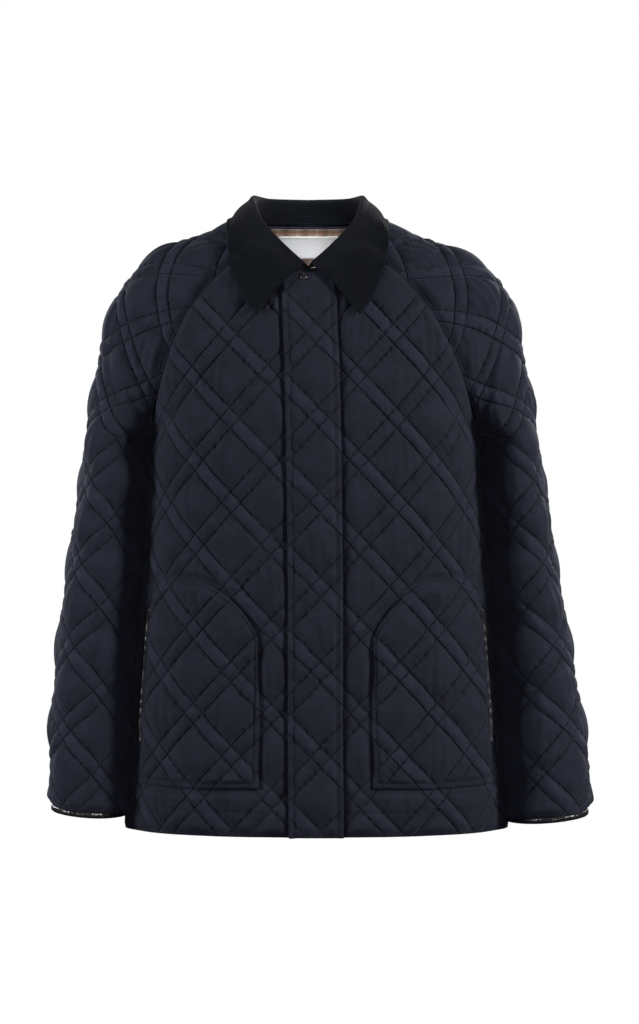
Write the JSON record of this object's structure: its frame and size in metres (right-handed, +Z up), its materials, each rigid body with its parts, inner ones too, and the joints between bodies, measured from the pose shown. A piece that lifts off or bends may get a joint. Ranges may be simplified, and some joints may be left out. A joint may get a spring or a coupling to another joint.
{
  "type": "barn jacket",
  "caption": "Quilted wool barn jacket with raglan sleeves, ribbed fall collar, storm placket, curved patch pockets and leather-bound cuffs, filled out as worn.",
  "frame": {"origin": "middle of the neck opening at the height of the shoulder points, where a wearer's shoulders hold the jacket up", "axes": "+Z up, front faces -Y, +X to the wearer's left"},
  "size_m": [0.6364, 0.2666, 0.7563],
  "materials": {
    "wool": "navy flannel wool, quilted, soft nap",
    "rib": "dark navy fine rib, matte",
    "leather": "black, glossy",
    "lining": "brown and grey check wool",
    "label": "white satin weave, bare",
    "metal": "satin press stud"
  },
  "bodies": {
    "root": {"front_right": "wool", "front_left": "wool", "back": "wool", "sleeve_right": "wool", "sleeve_left": "wool", "placket": "wool", "pocket_right": "wool", "pocket_left": "wool", "collar": "rib", "pocket_binding_right": "leather", "pocket_binding_left": "leather", "cuff_binding_right": "leather", "cuff_binding_left": "leather", "neck_lining": "lining", "neck_label": "label", "press_stud": "metal"}
  },
  "joints": []
}
